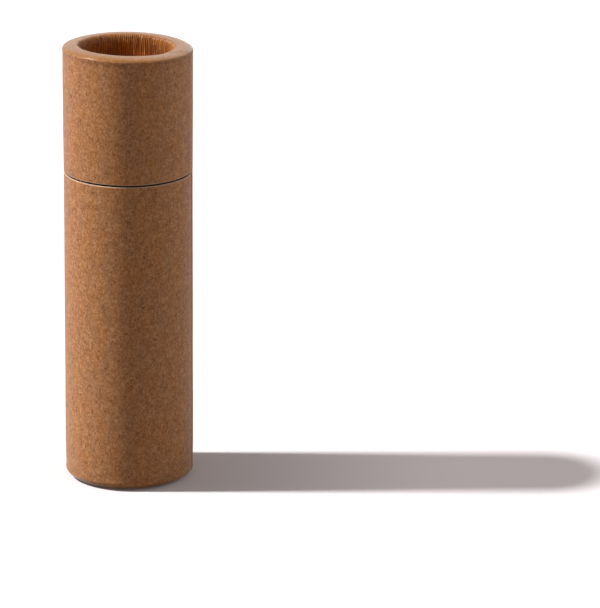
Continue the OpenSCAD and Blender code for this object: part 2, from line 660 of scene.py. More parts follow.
@dataclass(frozen=True)
class Station:
    """One point of a section that is spun round the axis, in millimetres.

    along is the length of paper from the open end, and the rest are weights from
    0 to 1: polish by the curling die, painted shade under the bead, pleats in the
    throat, lap where the free edge still stands proud, torn on a cut edge, whose
    pale colour on the wrap is partly a painted highlight, side down a wall, and
    painted shade in pleats, lap creases, the throat's depth and cut ends.
    """

    radius: float
    height: float
    along: float = 0.0
    polish: float = 0.0
    bead_shade: float = 0.0
    pleat: float = 0.0
    lap: float = 0.0
    torn: float = 0.0
    side: float = 0.0
    painted_shade: float = 0.0


HIDDEN_STEPS = 384
SECTOR = 24  # a spin slows with every step, so a sector is spun and then doubled
WELD = 1e-4
STILL = Vector((0, 0, 0))
LAYERS = ("along", "polish", "bead_shade", "pleat", "lap", "torn", "side", "painted_shade", "sink")


def ease(value: float, start: float, end: float) -> float:
    """Rises smoothly from 0 at start to 1 at end, or falls where start is the larger."""
    share = min(max((value - start) / (end - start), 0.0), 1.0)
    return share * share * (3 - 2 * share)


def outward(bearing: float) -> Vector:
    """Gives the level direction away from the axis at a bearing in radians."""
    return Vector((math.cos(bearing), math.sin(bearing), 0))


def spin(section: Iterable[Station], steps: int, closed: bool = True) -> bmesh.types.BMesh:
    """Spins a section round the axis into a closed shape.

    Args:
        section: The points of the section, in order.
        steps: Faces round the axis.
        closed: Joins the last point to the first. A section that starts and ends on the
            axis stays open.

    Returns:
        The shape, with the weights of the stations on its vertices.
    """
    bm = bmesh.new()
    layers = {name: bm.verts.layers.float.new(name) for name in LAYERS}
    verts = []
    for station in section:
        vert = bm.verts.new((station.radius, 0, station.height))
        for name, layer in layers.items():
            vert[layer] = getattr(station, name, 0.0)
        verts.append(vert)
    nexts = verts[1:] + verts[:1] if closed else verts[1:]
    edges = [bm.edges.new(pair) for pair in zip(verts, nexts)]
    first = steps
    while first % 2 == 0 and first > SECTOR:
        first //= 2
    sector = TURN * first / steps
    bmesh.ops.spin(
        bm, geom=verts + edges, cent=STILL, axis=(0, 0, 1), dvec=STILL, angle=sector,
        steps=first, use_merge=steps == first, use_duplicate=False)
    while first < steps:
        whole = bm.verts[:] + bm.edges[:] + bm.faces[:]
        copied = bmesh.ops.duplicate(bm, geom=whole)["geom"]
        moved = [part for part in copied if isinstance(part, bmesh.types.BMVert)]
        turn = Matrix.Rotation(sector, 3, "Z")
        bmesh.ops.rotate(bm, cent=STILL, matrix=turn, verts=moved)
        bmesh.ops.remove_doubles(bm, verts=bm.verts, dist=WELD)
        first, sector = first * 2, sector * 2
    bmesh.ops.remove_doubles(bm, verts=bm.verts, dist=WELD)
    bmesh.ops.recalc_face_normals(bm, faces=bm.faces)
    bm.normal_update()
    return bm


def reshape(bm: bmesh.types.BMesh, mover: Mover) -> None:
    """Moves every vertex.

    Args:
        bm: The shape.
        mover: Gives the move of a vertex from the vertex and its bearing in radians.
    """
    moves = [(vert, mover(vert, math.atan2(vert.co.y, vert.co.x))) for vert in bm.verts]
    for vert, move in moves:
        vert.co += move


def make_piece(
    bm: bmesh.types.BMesh, name: str, material: bpy.types.Material
) -> bpy.types.Object:
    """Makes the finished object of a shape, in metres.

    Args:
        bm: The shape in millimetres, which is freed.
        name: Name of the piece.
        material: Its finish.

    Returns:
        The object, linked to the scene.
    """
    bmesh.ops.scale(bm, vec=(MM, MM, MM), verts=bm.verts)
    for face in bm.faces:
        face.smooth = True
    mesh = bpy.data.meshes.new(name)
    bm.to_mesh(mesh)
    bm.free()
    mesh.materials.append(material)
    piece = bpy.data.objects.new(name, mesh)
    bpy.context.scene.collection.objects.link(piece)
    LOG.info("%s: %d faces", name, len(mesh.polygons))
    return piece


def fit(piece: bpy.types.Object, body: str, node: str, slot: str) -> None:
    """Fits a piece to the model.

    Args:
        piece: The piece.
        body: The body that it rides on.
        node: The CAD node that it stands for.
        slot: The slot of its finish; not used.
    """
    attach(piece, body)
    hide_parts(node)


def unevenness(at: Vector, pitch: float) -> float:
    """Gives a smooth value from about -1 to 1 that varies over the pitch in millimetres."""
    return noise.noise(at / pitch)


@dataclass(frozen=True)
class TubeStock:
    """Sizes shared by the body and the cap, as in the part's source, in millimetres."""

    body_r: float = 10.0
    wrap_t: float = 0.15
    board_t: float = 0.75
    glue: float = 0.02
    throat_r: float = 7.0

    @property
    def stack_t(self) -> float:
        """Thickness of the wrap and the board together."""
        return self.wrap_t + self.glue + self.board_t

    @property
    def rim_w(self) -> float:
        """Width of a rim from the wall to the throat."""
        return self.body_r - self.throat_r


@dataclass(frozen=True)
class Curl:
    """Section of a curled rim: a shoulder outside its crown and a bend into the throat.

    A square of 2 makes the shoulder an ellipse, and a larger one makes it squarer. The
    bend is tighter for the layers that lie deeper, down to the tightest.
    """

    outer_w: float
    outer_h: float
    inner_w: float
    inner_h: float
    square: float
    tightest: float = 0.08


class End(Enum):
    """Which end of the stick a curled tube closes."""

    CROWN = -1
    FOOT = 1


def span(node: str) -> tuple[float, float]:
    """Gives the lowest and the highest point of a CAD node at rest, in millimetres."""
    low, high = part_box(node)
    return low.z / MM, high.z / MM


def shoulder_point(turn: float, square: float) -> tuple[float, float]:
    """Gives a point of a rounded shoulder of unit size.

    Args:
        turn: Bearing of the point in radians, 0 at the wall and a quarter turn on top.
        square: Exponent of the curve, a circle for 2 and squarer above it.

    Returns:
        How far the point lies outwards and upwards.
    """
    across, up = max(math.cos(turn), 0.0), max(math.sin(turn), 0.0)
    size = (across**square + up**square) ** (1 / square)
    return across / size, up / size


FLARE_RADII = (8.2, 9.4)  # the flare widens the wall, and not the throat
SHIFT_RADII = (9.2, 7.8)  # the shift moves the throat, and not the wall
SLANT_RADII = (9.5, 7.3)  # the lap's edge slants on its way from the wall to the throat
BEAD_RADIUS = 9.2  # the bead is pressed outside of this
TIP_FROM = 0.8  # down to this depth the lean of the rim is whole
TIP_REACH = 14.0  # and at this depth of the wall it has run out
FINE_FROM = 2.2  # from this depth to the rim the rows of the wall are close together
FINE_STEP = 0.3
CLEAN_EDGE = 0.16  # from the cut end to the first row that isn't torn
PLEAT_MEAN = 0.65  # share of a pleat that lies below the true throat
PLEAT_SHADE_RAMP = (0.54, 0.05)  # painted shade begins and is full at these heights of a pleat
CREASE = (-1.5, 0.0)  # faces past the lap's free edge that get painted shade from its step
LIT_CUT_EDGE = (0.5, 2.5)  # faces past it that show the pale cut of the paper, partly as a painted highlight of the free edge


@dataclass
class CurledTube:
    """A rolled tube whose end is curled over and folded back inside, and its wrap.

    Depths are counted from the crown of the rim towards the open end. The flare
    widens the wall towards the rim, or narrows it where it is negative. The crown
    stands proud, leans along X and Y and is warped like a saddle, and the throat
    stands off centre, each by a hair, as a curling die leaves them.
    """

    end: End
    zero: float
    length: float
    fold: float
    lap_at: float
    offset: float
    curl: Curl
    flare: float = 0.0
    flare_h: float = 19.7
    lean: tuple[float, float] = (0.0, 0.0)
    warp: float = 0.0
    warp_at: float = 68.0
    proud: float = 0.0
    throat_at: float = 0.0
    slant: float = 0.0
    stock: TubeStock = TubeStock()
    steps: int = 1024
    arc: int = 15
    hidden_arc: int = 5
    board_arc: int = 6
    lip_arc: int = 4
    pleats: int = 148
    pleat_depth: float = 0.20
    lap_w: float = 5.0
    lap_turn: int = 1
    lap_rise: float = 0.11
    swell: float = 0.05
    groove: float = 0.015
    corner: float = 0.04

    def height(self, depth: float) -> float:
        """Gives the height on the stick of a depth below the crown."""
        return self.zero + self.end.value * depth

    def set_by_hand(self, at: Vector, bearing: float) -> Vector:
        """Gives the flare, the lean and the shift of the throat at a place.

        Args:
            at: The place on the true round tube.
            bearing: Its bearing in radians.

        Returns:
            The move.
        """
        radius, depth, out = at.xy.length, abs(at.z - self.zero), outward(bearing)
        fade = max(1 - (depth / self.flare_h) ** 2, 0.0)
        widen = self.flare * ease(radius, *FLARE_RADII) * fade
        on_wall = radius > self.stock.throat_r + self.stock.rim_w / 2
        rise = self.proud + self.lean[0] * out.x + self.lean[1] * out.y
        rise += self.warp * math.cos(2 * (bearing - math.radians(self.warp_at)))
        tip = rise * ease(depth, TIP_REACH if on_wall else self.fold, TIP_FROM)
        shift = self.throat_at * ease(radius, *SHIFT_RADII)
        return out * widen + Vector((shift, 0, tip))

    def rim(self, inset: float, count: int) -> list[tuple[float, float, float]]:
        """Gives the curl of a layer, from the wall over the crown to the throat.

        Args:
            inset: Depth of the layer's face below the outside surface.
            count: Segments of each of its two arcs.

        Returns:
            Radius, depth and bend, which runs from 0 at the wall to 1 at the crown and
            2 at the throat.
        """
        s, curl = self.stock, self.curl
        shrink = (s.rim_w - 2 * inset) / s.rim_w
        outer_w, inner_w = curl.outer_w * shrink, curl.inner_w * shrink
        outer_h = max(curl.outer_h - inset, curl.tightest)
        outer_c, inner_c = s.body_r - inset - outer_w, s.throat_r + inset + inner_w
        points = []
        for i in range(count + 1):
            across, up = shoulder_point(math.pi / 2 * i / count, curl.square)
            points.append((outer_c + outer_w * across, inset + outer_h * (1 - up), i / count))
        for i in range(count + 1):
            turn = math.pi / 2 * (1 + i / count)
            depth = inset + (curl.inner_h - inset) * (1 - math.sin(turn))
            points.append((inner_c + inner_w * math.cos(turn), depth, 1 + i / count))
        return points

    def outer_face(self, rows: int, folds: int) -> list[Station]:
        """Gives the visible face of the wrap, from its cut end to the end of the fold.

        Args:
            rows: Rows of faces up the straight wall.
            folds: Rows of faces down the folded wall.

        Returns:
            The stations in order.
        """
        s, curl = self.stock, self.curl
        stations = []
        top, low = FINE_FROM, self.length - CLEAN_EDGE
        depths = [self.length - self.corner]
        depths += [low + (top - low) * i / rows for i in range(rows)]
        count = math.ceil((top - curl.outer_h) / FINE_STEP)
        depths += [top + (curl.outer_h - top) * i / count for i in range(count)]
        for i, depth in enumerate(depths):
            stations.append(Station(
                s.body_r, self.height(depth), self.offset + self.length - depth,
                # painted shade on the wall just under the bead
                bead_shade=ease(depth, curl.outer_h + 1.6, curl.outer_h + 0.2), lap=1.0,
                # a pale cut edge, partly a painted highlight
                torn=0.7 if i == 0 else 0.0,
            ))
        path = self.offset + self.length - curl.outer_h
        last = None
        for radius, depth, bend in self.rim(0.0, self.arc):
            if last:
                path += math.hypot(radius - last[0], depth - last[1])
            last = (radius, depth)
            stations.append(Station(
                radius, self.height(depth), path,
                # the painted shade under the bead starts on its shoulder
                polish=ease(bend, 0.06, 0.26), bead_shade=ease(bend, 0.22, 0.0),
                pleat=ease(bend, 0.95, 1.50), lap=0.8 * ease(bend, 2.0, 1.6),
            ))
        for i in range(1, folds + 1):
            depth = curl.inner_h + (self.fold - curl.inner_h) * i / folds
            stations.append(Station(
                s.throat_r, self.height(depth), path + depth - curl.inner_h,
                polish=ease(depth, 4.0, 1.5), pleat=1.0,
                # painted shade that deepens towards the bottom of the throat
                painted_shade=0.45 * ease(depth, self.fold - 1.7, self.fold),
            ))
        return stations

    def inner_face(self, inset: float) -> list[Station]:
        """Gives the hidden face of a layer, from the end of the fold to its cut end.

        Args:
            inset: Depth of the face below the outside surface.

        Returns:
            The stations in order.
        """
        s = self.stock
        rim = [
            Station(radius, self.height(depth), self.offset)
            for radius, depth, _ in self.rim(inset, self.hidden_arc)
        ]
        # the last two numbers are the torn weight and the painted shade of the fold and the cut
        # end
        ends = (
            (s.throat_r + inset, self.fold, 1.0, 0.5),
            (s.body_r - inset, self.length - 0.3, 0.0, 0.0),
            (s.body_r - inset, self.length, 1.0, 1.0),
        )
        fold, clean, cut = (
            Station(radius, self.height(depth), self.offset, torn=torn, painted_shade=painted_shade)
            for radius, depth, torn, painted_shade in ends
        )
        return [fold, *reversed(rim), clean, cut]

    def lip(self) -> list[Station]:
        """Gives the rounded corner of the cut end, pale as cut paper and partly as a painted
        highlight.

        Returns:
            The stations in order, from the end to the wall.
        """
        stations, count = [], self.lip_arc
        for i in range(count, 0, -1):
            turn = math.pi / 2 * i / count
            stations.append(Station(
                self.stock.body_r - self.corner * (1 - math.cos(turn)),
                self.height(self.length - self.corner * (1 - math.sin(turn))),
                # a pale cut corner, partly a painted highlight, and painted shade on the end face
                self.offset, lap=0.5, torn=0.9, painted_shade=1.0 if i == count else 0.0,
            ))
        return stations

    def pleat_at(self, bearing: float, height: float) -> float:
        """Gives the height of the crimped paper in the throat.

        Args:
            bearing: Bearing in radians.
            height: Height on the stick.

        Returns:
            1 on a ridge and 0 in the sharp bottom of a pleat.
        """
        side, deep = outward(bearing), Vector((0, 0, height))
        phase = self.pleats / 2 * bearing
        for drift, around, down in ((3.2, 3.0, 0.12), (2.0, 8.0, 0.30), (0.9, 21.0, 0.60)):
            phase += drift * noise.noise(side * around + deep * down)
        own = 0.72 + 0.75 * noise.noise(side * 19.0 + deep * 0.35 + Vector((7, 3, 1)))
        return abs(math.sin(phase)) * min(max(own, 0.25), 1.2)

    def past_lap(self, at: Vector, bearing: float) -> float:
        """Gives how many faces of the mesh a place lies past the lap's free edge.

        Args:
            at: The place.
            bearing: Its bearing in radians.

        Returns:
            The count, which is negative on the paper under the lap.
        """
        step = TURN / self.steps
        edge = round(math.radians(self.lap_at) / step) * step
        edge -= math.radians(self.slant) * ease(at.xy.length, *SLANT_RADII)
        return self.lap_turn * ((bearing - edge + math.pi) % TURN - math.pi) / step

    def lap_lift(self, past: float) -> float:
        """Gives how far the wrap stands proud of the tube because of its lap.

        Args:
            past: Faces past the free edge.

        Returns:
            1 where the paper lies double, falling to 0 at the free edge and over the start.
        """
        around = past * TURN / self.steps * self.stock.body_r
        return ease(past, 0.0, 1.0) * ease(around, self.lap_w + 1.6, self.lap_w)

    def shape_wrap(self, bm: bmesh.types.BMesh) -> None:
        """Gives the wrap its pleats, lap, bead and the slight unevenness of wound paper.

        Args:
            bm: The shape of the wrap.
        """
        names = ("pleat", "lap", "painted_shade", "polish", "torn")
        layer = {name: bm.verts.layers.float[name] for name in names}

        def mark(vert: bmesh.types.BMVert, name: str, weight: float) -> None:
            """Raises one of the weights on a vertex to at least this."""
            vert[layer[name]] = max(vert[layer[name]], weight)

        def move(vert: bmesh.types.BMVert, bearing: float) -> Vector:
            """Adds up the reliefs along the surface normal.

            Args:
                vert: The vertex.
                bearing: Its bearing in radians.

            Returns:
                The move.
            """
            at, lift = vert.co, 0.0
            pleat, lap = vert[layer["pleat"]], vert[layer["lap"]]
            if pleat > 0:
                ridge = self.pleat_at(bearing, at.z)
                patch = noise.noise(outward(bearing) * 11 + Vector((0, 0, at.z * 0.5)))
                size = pleat * (0.85 + 0.5 * patch)
                lift += self.pleat_depth * size * (ridge - PLEAT_MEAN)
                # painted shade in the bottoms of the pleats
                mark(vert, "painted_shade", min(size, 1.0) * pleat * ease(ridge, *PLEAT_SHADE_RAMP))
            if lap > 0:
                past = self.past_lap(at, bearing)
                lift += self.lap_rise * lap * self.lap_lift(past)
                # painted shade along the step of the lap's free edge, and past it pale cut paper
                # that is partly a painted highlight
                if CREASE[0] < past < CREASE[1]:
                    mark(vert, "painted_shade", 0.8 * lap)
                elif LIT_CUT_EDGE[0] < past < LIT_CUT_EDGE[1]:
                    mark(vert, "torn", 0.5 * lap)
            if lap > 0 and pleat == 0 and at.xy.length > BEAD_RADIUS:
                below = abs(at.z - self.zero) - self.curl.outer_h
                lift += self.swell * math.exp(-(((below + 0.1) / 0.4) ** 2))
                lift -= self.groove * math.exp(-(((below - 0.6) / 0.35) ** 2))
            if at.xy.length > self.stock.body_r - self.stock.wrap_t / 2:
                lift += 0.022 * unevenness(at, 4.5) + 0.010 * unevenness(at, 1.3)
            elif vert[layer["polish"]] > 0:
                lift += 0.010 * unevenness(at, 3.0) + 0.010 * unevenness(at, 1.3)
            shift = vert.normal * lift + self.set_by_hand(vert.co, bearing)
            if self.end is End.FOOT:
                shift.z = max(shift.z, -vert.co.z)
            return shift

        reshape(bm, move)

    def wrap(self) -> bmesh.types.BMesh:
        """Gives the kraft wrap.

        Returns:
            The shape in millimetres.
        """
        rows = 8 + round(self.length / 8)
        section = self.outer_face(rows, 12) + self.inner_face(self.stock.wrap_t)
        bm = spin(section + self.lip(), self.steps)
        self.shape_wrap(bm)
        return bm

    def board(self) -> bmesh.types.BMesh:
        """Gives the rolled board under the wrap, with grooves between its plies.

        Returns:
            The shape in millimetres.
        """
        s = self.stock
        near, far = s.wrap_t + s.glue, s.stack_t
        low = self.length - self.corner
        outer = [Station(s.body_r - near, self.height(low), torn=0.7)]
        outer += [Station(r, self.height(d)) for r, d, _ in self.rim(near, self.board_arc)]
        outer.append(Station(s.throat_r + near, self.height(self.fold), torn=1.0))
        inner = self.inner_face(far)[:-1]
        edge = cut_edge(s.body_r - far, s.body_r - near, self.height(self.length),
                        -self.end.value, 3)
        bm = spin(outer + inner + edge, HIDDEN_STEPS)
        reshape(bm, lambda vert, bearing: self.set_by_hand(vert.co, bearing))
        roughen_cut(bm)
        return bm


def cut_edge(
    inner: float, outer: float, height: float, inward: float, plies: int
) -> list[Station]:
    """Gives the cut end of a rolled wall, from its bore to its outside.

    Args:
        inner: Radius of the bore.
        outer: Radius of the outside.
        height: Height of the cut.
        inward: 1 where the material lies above the cut, and -1 where it lies below.
        plies: Layers of the wall, with a shallow groove between each two.

    Returns:
        The stations in order.
    """
    corner, groove = 0.04, 0.025
    stations = [
        Station(inner, height + inward * corner, torn=0.7),
        Station(inner + corner * 0.3, height + inward * corner * 0.3, torn=1.0),
        Station(inner + corner, height, torn=1.0),
    ]
    for i in range(1, plies):
        middle = inner + (outer - inner) * i / plies
        for aside, depth in ((-0.03, 0.0), (0.0, groove), (0.03, 0.0)):
            stations.append(Station(middle + aside, height + inward * depth, torn=1.0))
    stations.append(Station(outer - corner, height, torn=1.0))
    stations.append(Station(outer - corner * 0.3, height + inward * corner * 0.3, torn=1.0))
    return stations


def roughen_cut(bm: bmesh.types.BMesh) -> None:
    """Roughens the cut edges of a shape, and its walls by half as much.

    Args:
        bm: The shape.
    """
    torn = bm.verts.layers.float["torn"]
    reshape(bm, lambda vert, _: vert.normal * (
        0.012 * vert[torn] * noise.noise(vert.co * 2.2) + 0.006 * unevenness(vert.co, 3.0)))


@dataclass
class StraightTube:
    """A plain rolled layer of the neck, between two heights."""

    outer: float
    thick: float
    low: float
    high: float
    plies: int = 1
    lap_at: float | None = None
    lap_w: float = 5.0
    lap_rise: float = 0.035

    def section(self) -> list[Station]:
        """Gives the section of the layer.

        Returns:
            The stations in order: the wall, the foot and the top.
        """
        inner, corner, rows = self.outer - self.thick, 0.03, 14
        top, low = self.high - corner, self.low + corner
        wall = [
            Station(self.outer, top + (low - self.high + corner) * i / rows)
            for i in range(rows + 1)
        ]
        foot = [
            Station(self.outer - corner, self.low, torn=1.0),
            Station(inner + corner, self.low, torn=1.0),
            Station(inner, low),
        ]
        if self.plies > 1:
            return wall + foot + cut_edge(inner, self.outer, self.high, -1, self.plies)
        return wall + foot + [
            Station(inner, top),
            Station(inner + self.thick * 0.3, self.high, torn=1.0),
            Station(self.outer - self.thick * 0.3, self.high, torn=1.0),
        ]

    def shape(self) -> bmesh.types.BMesh:
        """Gives the layer.

        Returns:
            The shape in millimetres.
        """
        bm = spin(self.section(), HIDDEN_STEPS)
        roughen_cut(bm)
        if self.lap_at is not None:
            self.lay_lap(bm)
        return bm

    def lay_lap(self, bm: bmesh.types.BMesh) -> None:
        """Raises the strip where the layer laps over itself, inside the cap's clearance.

        Args:
            bm: The shape of the layer.
        """
        step = TURN / HIDDEN_STEPS
        edge = round(math.radians(self.lap_at) / step) * step

        def move(vert: bmesh.types.BMVert, bearing: float) -> Vector:
            """Lifts the outer face over the lap.

            Args:
                vert: The vertex.
                bearing: Its bearing in radians.

            Returns:
                The move.
            """
            if vert.co.xy.length < self.outer - 0.02:
                return STILL
            around = ((bearing - edge + step / 2) % TURN - step / 2) * self.outer
            rise = ease(around, 0.0, step * self.outer)
            rise *= ease(around, self.lap_w, self.lap_w - 1)
            return outward(bearing) * (self.lap_rise * rise)

        reshape(bm, move)


@dataclass
class PaperDisc:
    """A thin disc that has taken up the slight unevenness of pressing and glue."""

    radius: float
    low: float
    thick: float
    uneven: float
    steps: int = 256
    rings: int = 30

    @classmethod
    def in_place_of(cls, node: str, radius: float, uneven: float) -> "PaperDisc":
        """Takes the height and thickness from the CAD node that the disc replaces."""
        low, high = span(node)
        return cls(radius, low, high - low, uneven)

    def shape(self) -> bmesh.types.BMesh:
        """Gives the disc.

        Returns:
            The shape in millimetres.
        """
        high, corner = self.low + self.thick, self.thick * 0.25
        radii = [(self.radius - corner) * i / self.rings for i in range(self.rings + 1)]
        rim = [
            Station(self.radius, self.low + corner, torn=0.6),
            Station(self.radius, high - corner, torn=0.6),
        ]
        under = [Station(radius, self.low) for radius in radii]
        over = [Station(radius, high) for radius in reversed(radii)]
        bm = spin(under + rim + over, self.steps, closed=False)
        fade = self.radius - 1.0

        def move(vert: bmesh.types.BMVert, _: float) -> Vector:
            """Raises and lowers both faces together, and leaves the edge flat.

            Args:
                vert: The vertex.

            Returns:
                The move.
            """
            wave = unevenness(Vector((vert.co.x, vert.co.y, self.low)), 2.6)
            calm = ease(vert.co.xy.length, fade, fade - 1.5)
            return Vector((0, 0, self.uneven * calm * wave))

        reshape(bm, move)
        return bm


@dataclass
class Balm:
    """The cast balm, domed, with the heart-shaped hole left by cooling."""

    low: float
    shoulder: float
    radius: float = 8.14
    dome: float = 0.45
    sink_r: float = 0.5
    sink_off: float = 2.6
    sink_at: float = -35.0
    sink_depth: float = 1.1
    steps: int = 640

    @classmethod
    def in_place_of(cls, node: str) -> "Balm":
        """Takes the heights from the CAD node that the balm replaces."""
        low, high = span(node)
        return cls(low, high - cls.dome)

    def top_radii(self) -> list[float]:
        """Gives the rings of the top, close together where the hole is."""
        near = [1.55 + 0.055 * i for i in range(39)]
        return [0.0, 0.5, 0.95, 1.3, *near, 3.9, 4.3, 4.8, 5.4, 6.0, 6.6, 7.1, 7.5, 7.8]

    def hole(self, x: float, y: float) -> float:
        """Measures a point of the top from the edge of the sink hole.

        Args:
            x: Its place to the right.
            y: Its place to the back.

        Returns:
            How far it lies outside the hole, in millimetres.
        """
        turn = math.radians(self.sink_at)
        along = x * math.cos(turn) + y * math.sin(turn) - self.sink_off
        across = -x * math.sin(turn) + y * math.cos(turn)
        lobes = min(
            math.hypot(along, across - 0.4 * self.sink_r),
            math.hypot(along, across + 0.4 * self.sink_r),
        ) - self.sink_r
        tip = math.hypot(along + self.sink_r, across) - 0.7 * self.sink_r
        waver = 0.07 * noise.noise(Vector((x, y, 0.3)) * 2.4)
        return min(lobes, tip) + waver

    def shape(self) -> bmesh.types.BMesh:
        """Gives the balm.

        Returns:
            The shape in millimetres.
        """
        corner, rows = 0.12, 16
        wall_top = self.shoulder - corner
        top = [
            Station(r, self.shoulder + self.dome * (1 - (r / self.radius) ** 2))
            for r in self.top_radii()
        ]
        edge = [
            Station(self.radius - corner, self.shoulder + 0.01),
            Station(self.radius - corner * 0.3, self.shoulder - corner * 0.3, side=0.4),
        ]
        wall = [
            Station(self.radius, wall_top + (self.low - wall_top) * i / rows, side=1.0)
            for i in range(rows + 1)
        ]
        base = [Station(r, self.low) for r in (self.radius * 0.6, 0.0)]
        bm = spin(top + edge + wall + base, self.steps, closed=False)
        sink = bm.verts.layers.float["sink"]
        bare = self.shoulder - 2.0

        def move(vert: bmesh.types.BMVert, _: float) -> Vector:
            """Sinks the hole and its dimple, and leaves the top slightly wavy.

            Args:
                vert: The vertex.

            Returns:
                The move.
            """
            if vert.co.z < bare:
                return STILL
            away = self.hole(vert.co.x, vert.co.y)
            # where the painted shade of the hole and its halo goes
            vert[sink] = max(ease(away, 0.08, -0.10), 0.5 * ease(away, 1.3, 0.0))
            calm = ease(vert.co.xy.length, self.radius, self.radius - 0.5)
            drop = self.sink_depth * ease(away, 0.06, -0.30) + 0.10 * ease(away, 1.1, 0.0)
            wave = 0.035 * unevenness(Vector((vert.co.x, vert.co.y, 4.0)), 3.1)
            return Vector((0, 0, calm * (wave - drop)))

        reshape(bm, move)
        return bm


# The sub-assemblies


@dataclass(frozen=True)
class Finishes:
    """The materials of the stick, dressed once and shared."""

    cap_paper: bpy.types.Material
    body_paper: bpy.types.Material
    facing: bpy.types.Material
    wall_board: bpy.types.Material
    neck_board: bpy.types.Material
    disc_board: bpy.types.Material
    white: bpy.types.Material
    greaseproof: bpy.types.Material
    balm: bpy.types.Material

    @classmethod
    def mixed(cls, cap_lap: float, body_lap: float) -> "Finishes":
        """Dresses every finish.

        Args:
            cap_lap: Bearing of the free edge of the cap's wrap, in degrees.
            body_lap: Bearing of the free edge of the body's wrap.

        Returns:
            The finishes.
        """
        return cls(
            cap_paper=KraftPaper("kraft_on_cap", lap_at=cap_lap).dress(),
            body_paper=KraftPaper("kraft_on_body", lap_at=body_lap).dress(),
            facing=KraftPaper("kraft_on_discs", Lay.FLAT).dress(),
            wall_board=RolledBoard("wall_board", outer=9.83, ply=0.25).dress(),
            neck_board=RolledBoard(
                "neck_board", outer=8.89, ply=0.2, core=(0.20, 0.105, 0.068)).dress(),
            disc_board=RolledBoard("disc_board", outer=9.0, ply=0.3).dress(),
            white=SmoothPaper(
                "white_paper", (0.86, 0.83, 0.81), (0.90, 0.88, 0.86), (0.70, 0.62, 0.55),
                rough=0.55, gloss=0.45).dress(),
            greaseproof=SmoothPaper(
                "greaseproof", (0.80, 0.74, 0.66), (0.74, 0.68, 0.58), (0.62, 0.54, 0.44),
                rough=0.36, gloss=0.5).dress(),
            balm=CastBalm("cast_balm").dress(),
        )


@dataclass(frozen=True)
class Piece:
    """One visible piece, with the CAD node that it stands for and its material slot."""

    name: str
    shape: bmesh.types.BMesh
    finish: bpy.types.Material
    node: str
    slot: str


class SubAssembly:
    """Pieces that ride together on one body of the model."""

    body: ClassVar[str]

    def pieces(self) -> Iterator[Piece]:
        """Gives the pieces one by one."""
        raise NotImplementedError

    def build(self) -> None:
        """Makes every piece and fits it to the model."""
        for piece in self.pieces():
            made = make_piece(piece.shape, piece.name, piece.finish)
            fit(made, self.body, piece.node, piece.slot)


@dataclass
class Cap(SubAssembly):
    """The cap: wrap, board and the pressed disc in its top."""

    body: ClassVar[str] = "cap"
    finishes: Finishes
    tube: CurledTube
    disc_r: float = 9.03

    def pieces(self) -> Iterator[Piece]:
        """Gives the pieces one by one.

        Yields:
            The wrap, the board, and the facing and the lining of the disc.
        """
        look, node = self.finishes, "cap_disc_facing"
        yield Piece("cap_paper", self.tube.wrap(), look.cap_paper, "cap_wrap", "kraft_wrap")
        yield Piece("cap_board", self.tube.board(), look.wall_board, "cap_tube", "board")
        facing = PaperDisc.in_place_of(node, self.disc_r, 0.05)
        yield Piece("cap_top_facing", facing.shape(), look.facing, node, "kraft_facing")
        node = "cap_disc_barrier"
        barrier = PaperDisc.in_place_of(node, self.disc_r, 0.03)
        yield Piece("cap_lining_disc", barrier.shape(), look.greaseproof, node, "greaseproof")


@dataclass
class Body(SubAssembly):
    """The body: wrap and board, and the neck that carries the cap."""

    body: ClassVar[str] = "body"
    finishes: Finishes
    tube: CurledTube
    wrap_r: float = 9.03
    wrap_t: float = 0.12
    board_r: float = 8.89
    board_t: float = 0.6
    liner_r: float = 8.27
    liner_t: float = 0.08

    def pieces(self) -> Iterator[Piece]:
        """Gives the pieces one by one.

        Yields:
            The wrap, the board, and the three layers of the neck.
        """
        look = self.finishes
        yield Piece("body_paper", self.tube.wrap(), look.body_paper, "body_wrap", "kraft_wrap")
        yield Piece("body_board", self.tube.board(), look.wall_board, "body_tube", "board")
        low, high = span("neck_tube")
        white = StraightTube(self.wrap_r, self.wrap_t, low, high, lap_at=-40)
        yield Piece("neck_paper", white.shape(), look.white, "neck_wrap", "white_paper")
        core = StraightTube(self.board_r, self.board_t, low, high, plies=3)
        yield Piece("neck_board", core.shape(), look.neck_board, "neck_tube", "board")
        liner = StraightTube(self.liner_r, self.liner_t, low, high)
        yield Piece("neck_lining", liner.shape(), look.greaseproof, "neck_liner", "greaseproof")


@dataclass
class PushUp(SubAssembly):
    """What slides in the neck: the push disc with its papers, and the balm on it."""

    body: ClassVar[str] = "pusher"
    finishes: Finishes
    radius: float = 8.14

    def pieces(self) -> Iterator[Piece]:
        """Gives the pieces one by one.

        Yields:
            The facing of the push disc and the balm.
        """
        look, node = self.finishes, "push_disc_facing"
        facing = PaperDisc.in_place_of(node, self.radius, 0.05)
        yield Piece("push_facing", facing.shape(), look.facing, node, "kraft_facing")
        yield Piece("cast_balm_stick", Balm.in_place_of("balm").shape(), look.balm, "balm", "balm")


# The studio


@dataclass(frozen=True)
class Lamp:
    """A distant lamp, with its place and the angle that it covers in degrees.

    Its bearing runs from the front towards the right.
    """

    name: str
    strength: float
    bearing: float
    height: float
    size: float
    colour: Colour

    def hang(self) -> None:
        """Adds the lamp to the scene."""
        bearing, height = math.radians(self.bearing), math.radians(self.height)
        towards = Vector((
            math.sin(bearing) * math.cos(height),
            -math.cos(bearing) * math.cos(height),
            math.sin(height),
        ))
        data = bpy.data.lights.new(self.name, "SUN")
        data.energy, data.angle, data.color = self.strength, math.radians(self.size), self.colour
        lamp = bpy.data.objects.new(self.name, data)
        lamp.rotation_euler = towards.to_track_quat("Z", "Y").to_euler()
        bpy.context.scene.collection.objects.link(lamp)


